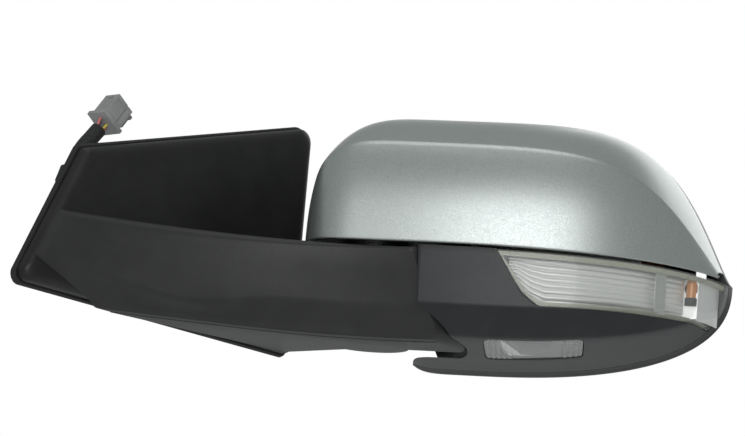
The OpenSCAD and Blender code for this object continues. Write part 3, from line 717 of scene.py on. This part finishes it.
def under_z(x, y):
    """Height of the head's underside over a point."""
    share = (RIM_AFT - y) / head_reach(x)
    low, high = 0.6, 1.0
    for _ in range(30):
        mid = (low + high) / 2
        low, high = (mid, high) if fill_low(mid) > share else (low, mid)
    return low * head_bottom(x)


def rib(x, y):
    """Height of the lens's ribs: upright flutes at both ends and a low swell between."""
    (x0, x1), (y0, y1) = PUDDLE_X, PUDDLE_Y
    edge = min(1, (x - x0) / 3, (x1 - x) / 3, (y - y0) / 3, (y1 - y) / 3)
    if edge <= 0:
        return 0
    if x < x0 + RIBS_IN or x > x1 - RIBS_OUT:
        return -0.75 * edge * abs(math.sin(math.pi * (x - x0) / RIB_PITCH))
    along = math.sin(math.pi * (x - x0 - RIBS_IN) / (x1 - x0 - RIBS_IN - RIBS_OUT))
    return -1.1 * edge * along * math.sin(math.pi * (y - y0) / (y1 - y0))


def make_puddle_lens():
    (x0, x1), (y0, y1) = PUDDLE_X, PUDDLE_Y
    nx, ny = 160, 40
    rings = []
    for i in range(nx + 1):
        x = x0 + (x1 - x0) * i / nx
        ring = []
        for k in range(ny + 1):
            front = y0 + PUDDLE_SLANT * i / nx
            y = front + (y1 - front) * k / ny
            across = x + PUDDLE_SHIFT * (1 - k / ny)
            ring.append((across, y, under_z(across, y) + 1.3 + rib(x, y0 + (y1 - y0) * k / ny)))
        rings.append(ring)
    lens = loft("puddle_lens_ribbed", rings, HEAD_PLACE, cap=False, loop=False)
    fix_normals(lens)
    thicken(lens, LENS_T, 0)
    tool = prism("p", puddle_outline(0.6), -BIG, 0, HEAD_PLACE, "z")
    csg(lens, ("INTERSECT", tool))
    drop(tool)
    finish_piece(lens, "head", "ribbed_lens", ["puddle_lens"], 40)
    plate = head_box("puddle_reflector", (x0 + 9, y0 + 12, -43.5), (x1 - 3, y1 - 3, -42.5))
    finish_piece(plate, "head", "reflector")


# ---- arm and sail foot ----
ARM_DROP = 53
ARM_LIP, ARM_LIP_IN, ARM_REAR = 3.6, 2.5, 120
SAIL_DEPTH, SEAL_T = 12, 3.5
SAIL_GAP = 68.5
SAIL_FRONT, SAIL_NOSE, SAIL_REAR, SAIL_TOP, NOSE_TOP, SAIL_LOW = 114, 74, 102, 84, 37, 45
WAIST = [(-165, -26), (-123, -35), (-97, -44), (-75, -44), (-50, -36), (60, -35)]
TUCK = [(-165, 28), (-97, 14), (-75, 14), (-50, 17), (60, 17)]
LEAN = [(-80, 0.5), (0, 8), (60, 9)]


def arm_face(x):
    return -56.5 - 0.0027 * (20 - x) ** 2


def arm_ring(x):
    """A section of the arm: up from below, over the lip and the waist to the ridge, and back on top."""
    face = arm_face(x)
    back = face + soft_lookup(x, TUCK, 25)
    waist = soft_lookup(x, WAIST, 20)
    ridge = lookup(x, [(-165, 9), (-60, 5), (20, 2.2)])
    ring = [(x, ARM_REAR, -90), (x, back + 9, -90), (x, back + 8, 0.3 - ARM_DROP)]
    ring += [(x, back + ARM_LIP_IN - ARM_LIP_IN * math.sin(a), ARM_LIP - ARM_DROP - 3.0 * math.cos(a))
             for a in [math.radians(20 * k) for k in range(5)]]
    fore = face + soft_lookup(x, LEAN, 20)
    lean = (fore - back) / (waist + ARM_DROP - ARM_LIP)
    climb = waist - 3 + ARM_DROP - ARM_LIP
    ring += [(x, back + lean * s * climb, ARM_LIP - ARM_DROP + s * climb) for s in (0.25, 0.5, 0.75)]
    rise = (face - fore) / (-4 - ridge - waist)
    ring += [(x, fore - 3 * lean * (1 - s) ** 2 + 2 * rise * s ** 2, waist - 3 + 5 * s)
             for s in (0, 0.25, 0.5, 0.75, 1)]
    ring += [(x, fore + (face - fore) * s, waist + 2 + (-4 - ridge - waist) * s) for s in (0.3, 0.6, 1)]
    ring += [(x, face + ridge * (1 - math.cos(a)), -2 - ridge + ridge * math.sin(a))
             for a in [math.radians(10 * k) for k in range(1, 10)]]
    ring += [(x, ARM_REAR, -2)]
    return ring


def arm_plan():
    """The arm from above: its round end, then the hub, then back to the door."""
    end = arc(0, -FOLD_AHEAD, BREAK_R, -60.3, 7.1, 24)
    hub = arc(0, -FOLD_AHEAD, 24, 18.2, 136, 20)
    return [(-200, -200), (30, -200)] + end + hub + [(-200, 106)]


def front_edge(z):
    """Where the sail's front edge lies at a height, along the door."""
    return -SAIL_FRONT + (z + SAIL_LOW) * (SAIL_FRONT - SAIL_NOSE) / (NOSE_TOP + SAIL_LOW)


def make_arm():
    arm = loft("arm_skin", [arm_ring(x) for x in range(-196, 72, 4)], HEAD_PLACE)
    fix_normals(arm)
    ahead = [(front_edge(-100) + 1, -100), (front_edge(60) + 1, 60), (-BIG, 60), (-BIG, -100)]
    tools = [prism("plan", arm_plan(), -ARM_DROP, 5, HEAD_PLACE, "z"),
             box_object("sail_side", (-BIG, -BIG, -BIG), (0.2 - SAIL_GAP, BIG, BIG),
                        HEAD_PLACE @ Matrix.Rotation(math.radians(-30), 4, "Z")),
             prism("post_hole", arc(0, -FOLD_AHEAD, 21, 0, 355, 71), -10, 20, HEAD_PLACE, "z"),
             prism("front", ahead, -BIG, BIG, DOOR_PLACE)]
    end = break_cylinder("end", BREAK_R, -ARM_DROP, 1)
    inner = head_box("inner", (-BIG, -BIG, -BIG), (30, BIG, BIG))
    csg(end, ("UNION", inner))
    csg(arm, ("INTERSECT", tools[0]), *[("DIFFERENCE", tool) for tool in tools[1:]], ("INTERSECT", end))
    drop(end, inner)
    drop(*tools)
    soften(arm, 0.7, 50, 3)
    # the arm gets the lighter copy of the black moulding: painted light on its face
    finish_piece(arm, "foot", "arm_lit_moulding", ["arm_cover"], 40)


def sail_outline(t):
    return rounded([(-SAIL_FRONT + 1.1 * t, -SAIL_LOW + t), (-SAIL_NOSE + 0.9 * t, NOSE_TOP - t),
                    (SAIL_REAR - t, SAIL_TOP - 1.2 * t), (SAIL_REAR - t, -SAIL_LOW - 8 + t)], [6, 5, 7, 5])


def make_sail():
    steps = [(0, SEAL_T), (0, SAIL_DEPTH - 5), (0.25, SAIL_DEPTH - 3.6), (0.9, SAIL_DEPTH - 2.2),
             (1.9, SAIL_DEPTH - 1.1), (3.2, SAIL_DEPTH - 0.35), (5, SAIL_DEPTH), (8, SAIL_DEPTH)]
    skin = loft("sail_skin", [[(x, -out, z) for x, z in sail_outline(t)] for t, out in steps], DOOR_PLACE)
    fix_normals(skin)
    hollow = prism("h", sail_outline(WALL), -SAIL_DEPTH + WALL, 1, DOOR_PLACE)
    csg(skin, ("DIFFERENCE", hollow))
    drop(hollow)
    finish_piece(skin, "foot", "black_moulding", ["foot_cover"], 35)
    lips = [(7, 0.0), (-1.5, 0.0), (-1.9, 0.8), (-1.6, 2.2), (-0.9, SEAL_T), (6.5, SEAL_T), (7, 3)]
    seal = loft("door_seal_lip", [[(x, -out, z) for x, z in sail_outline(t)] for t, out in lips],
                DOOR_PLACE, cap=False)
    fix_normals(seal)
    finish_piece(seal, "foot", "seal_rubber", ["door_seal"], 40)


# ---- the CAD nodes that stay as they are ----
KEPT = {
    "cast_alloy": ["base_casting", "head_frame"], "brass": ["thread_inserts", "fold_wheel"],
    "steel": ["foot_screws", "frame_screws", "pivot_post", "detent_ring", "post_washer", "fold_spring",
              "fold_worm", "gimbal_ring"],
    "seal_rubber": ["harness_grommet", "bulb_socket"], "harness_black": ["harness_clip", "head_loom"],
    "grey_moulding": ["pivot_shroud", "puddle_housing", "fold_gearcase"],
    "motor_can": ["fold_motor", "motor_vertical", "motor_horizontal"],
    "natural_nylon": ["actuator_case", "actuator_cover", "nut_vertical", "nut_horizontal", "jack_vertical",
                      "jack_horizontal"],
    "black_moulding": ["glass_holder"], "heater_film": ["heater_pad"], "mirror": ["mirror_glass"],
    "amber_bulb": ["indicator_bulb"], "lamp_white": ["puddle_lamp"],
}


def finish_kept():
    for material, nodes in KEPT.items():
        for node in nodes:
            slots = frame["nodes"][node].data.materials
            if not slots:
                slots.append(M[material])
            for k in range(len(slots)):
                slots[k] = M[material]


make_cap()
make_lower_cover()
make_bezel()
make_indicator()
make_reflector()
make_puddle_lens()
make_arm()
make_sail()
finish_kept()


# ---- floor, light and surroundings ----
FLOOR_Z = -0.62
BACKDROP = (-0.255, 0.951, 0.174)      # where the white backdrop stands
BACKDROP_EDGE = (0.95, 0.985)          # cosines from that direction: the room's grey, then full white
LIGHT_AIM = PIVOT + Vector((0.05, 0, 0))


def make_stage():
    floor = make_object("floor", [(-9, -9, 0), (9, -9, 0), (9, 9, 0), (-9, 9, 0)], [(0, 1, 2, 3)],
                        Matrix.Translation((0, 0, FLOOR_Z)))
    floor.data.materials.append(plastic("floor_pale", (0.8, 0.8, 0.8), 0.7))


def area_light(name, at, size, power):
    data = bpy.data.lights.new(name, "AREA")
    data.shape = "RECTANGLE"
    data.size, data.size_y = size
    data.energy = power
    obj = bpy.data.objects.new(name, data)
    bpy.context.scene.collection.objects.link(obj)
    obj.location = at
    aim = LIGHT_AIM - Vector(at)
    obj.rotation_euler = aim.to_track_quat("-Z", "Y").to_euler()


def make_world():
    """A white backdrop behind the mirror and a dimmer room everywhere else."""
    world = bpy.data.worlds.new("studio")
    bpy.context.scene.world = world
    world.use_nodes = True
    nodes, links = world.node_tree.nodes, world.node_tree.links
    place = nodes.new("ShaderNodeTexCoord")
    facing = nodes.new("ShaderNodeVectorMath")
    facing.operation = "DOT_PRODUCT"
    facing.inputs[1].default_value = BACKDROP
    shade = nodes.new("ShaderNodeValToRGB")
    links.new(place.outputs["Generated"], facing.inputs[0])
    links.new(facing.outputs["Value"], shade.inputs["Fac"])
    band = shade.color_ramp
    band.elements[0].position, band.elements[1].position = BACKDROP_EDGE
    band.elements[0].color, band.elements[1].color = (0.3, 0.315, 0.31, 1), (1, 1, 1, 1)
    links.new(shade.outputs["Color"], nodes["Background"].inputs["Color"])
    nodes["Background"].inputs["Strength"].default_value = 1.0


make_stage()
make_world()
area_light("key", (0.55, -2.3, 0.35), (1.8, 1.2), 19)
area_light("top_soft", (0.1, -0.4, 1.9), (1.4, 1.0), 5)
area_light("rear_soft", (0.6, 2.0, 0.9), (1.6, 1.2), 7)
bpy.context.scene.view_settings.view_transform = "Standard"
